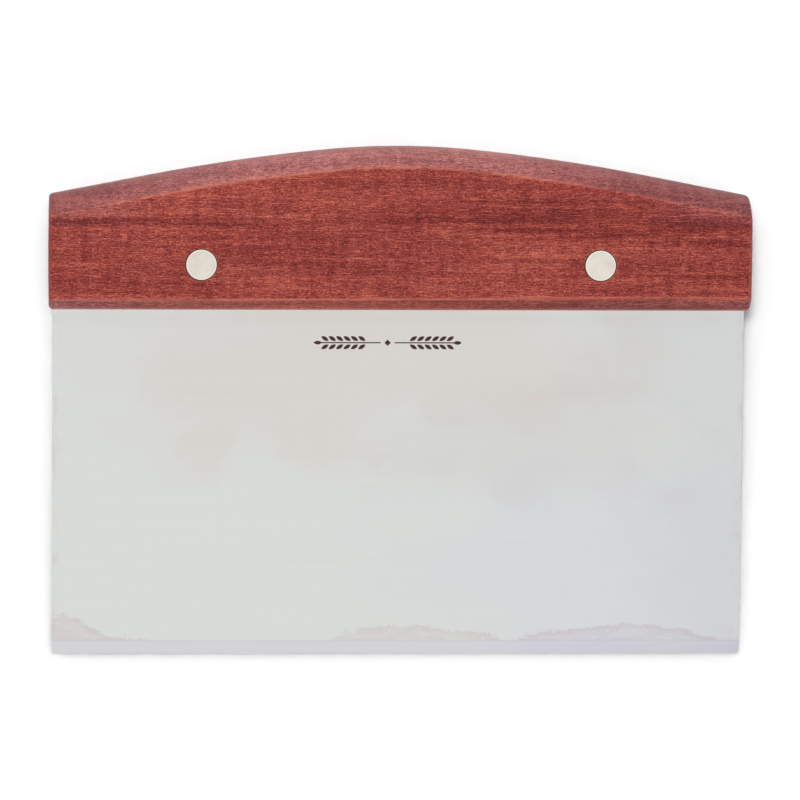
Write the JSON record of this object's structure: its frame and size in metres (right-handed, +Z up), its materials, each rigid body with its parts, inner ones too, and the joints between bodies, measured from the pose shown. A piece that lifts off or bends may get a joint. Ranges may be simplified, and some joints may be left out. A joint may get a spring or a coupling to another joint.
{
  "type": "bench scraper",
  "caption": "Bench scraper for dough: a wide rectangular sheet-steel blade with a ground edge, riveted into an arched hardwood handle.",
  "frame": {"origin": "on the bench surface, under the middle of the whole tool as it lies at rest", "axes": "+X along the cutting edge, +Y from the cutting edge towards the handle, +Z up; the blade rises 6.4 degrees from the bench towards the handle, with its front face up"},
  "size_m": [0.1516, 0.1104, 0.021],
  "materials": {
    "blade_steel": "satin, finely brushed along the cutting edge",
    "handle_wood": "red-brown stain, satin, worn a little lighter on the edges",
    "rivet_metal": "satin, flat ground heads"
  },
  "bodies": {
    "root": {"blade": "blade_steel", "handle": "handle_wood", "left_rivet_male": "rivet_metal", "left_rivet_female": "rivet_metal", "right_rivet_male": "rivet_metal", "right_rivet_female": "rivet_metal"}
  },
  "joints": []
}
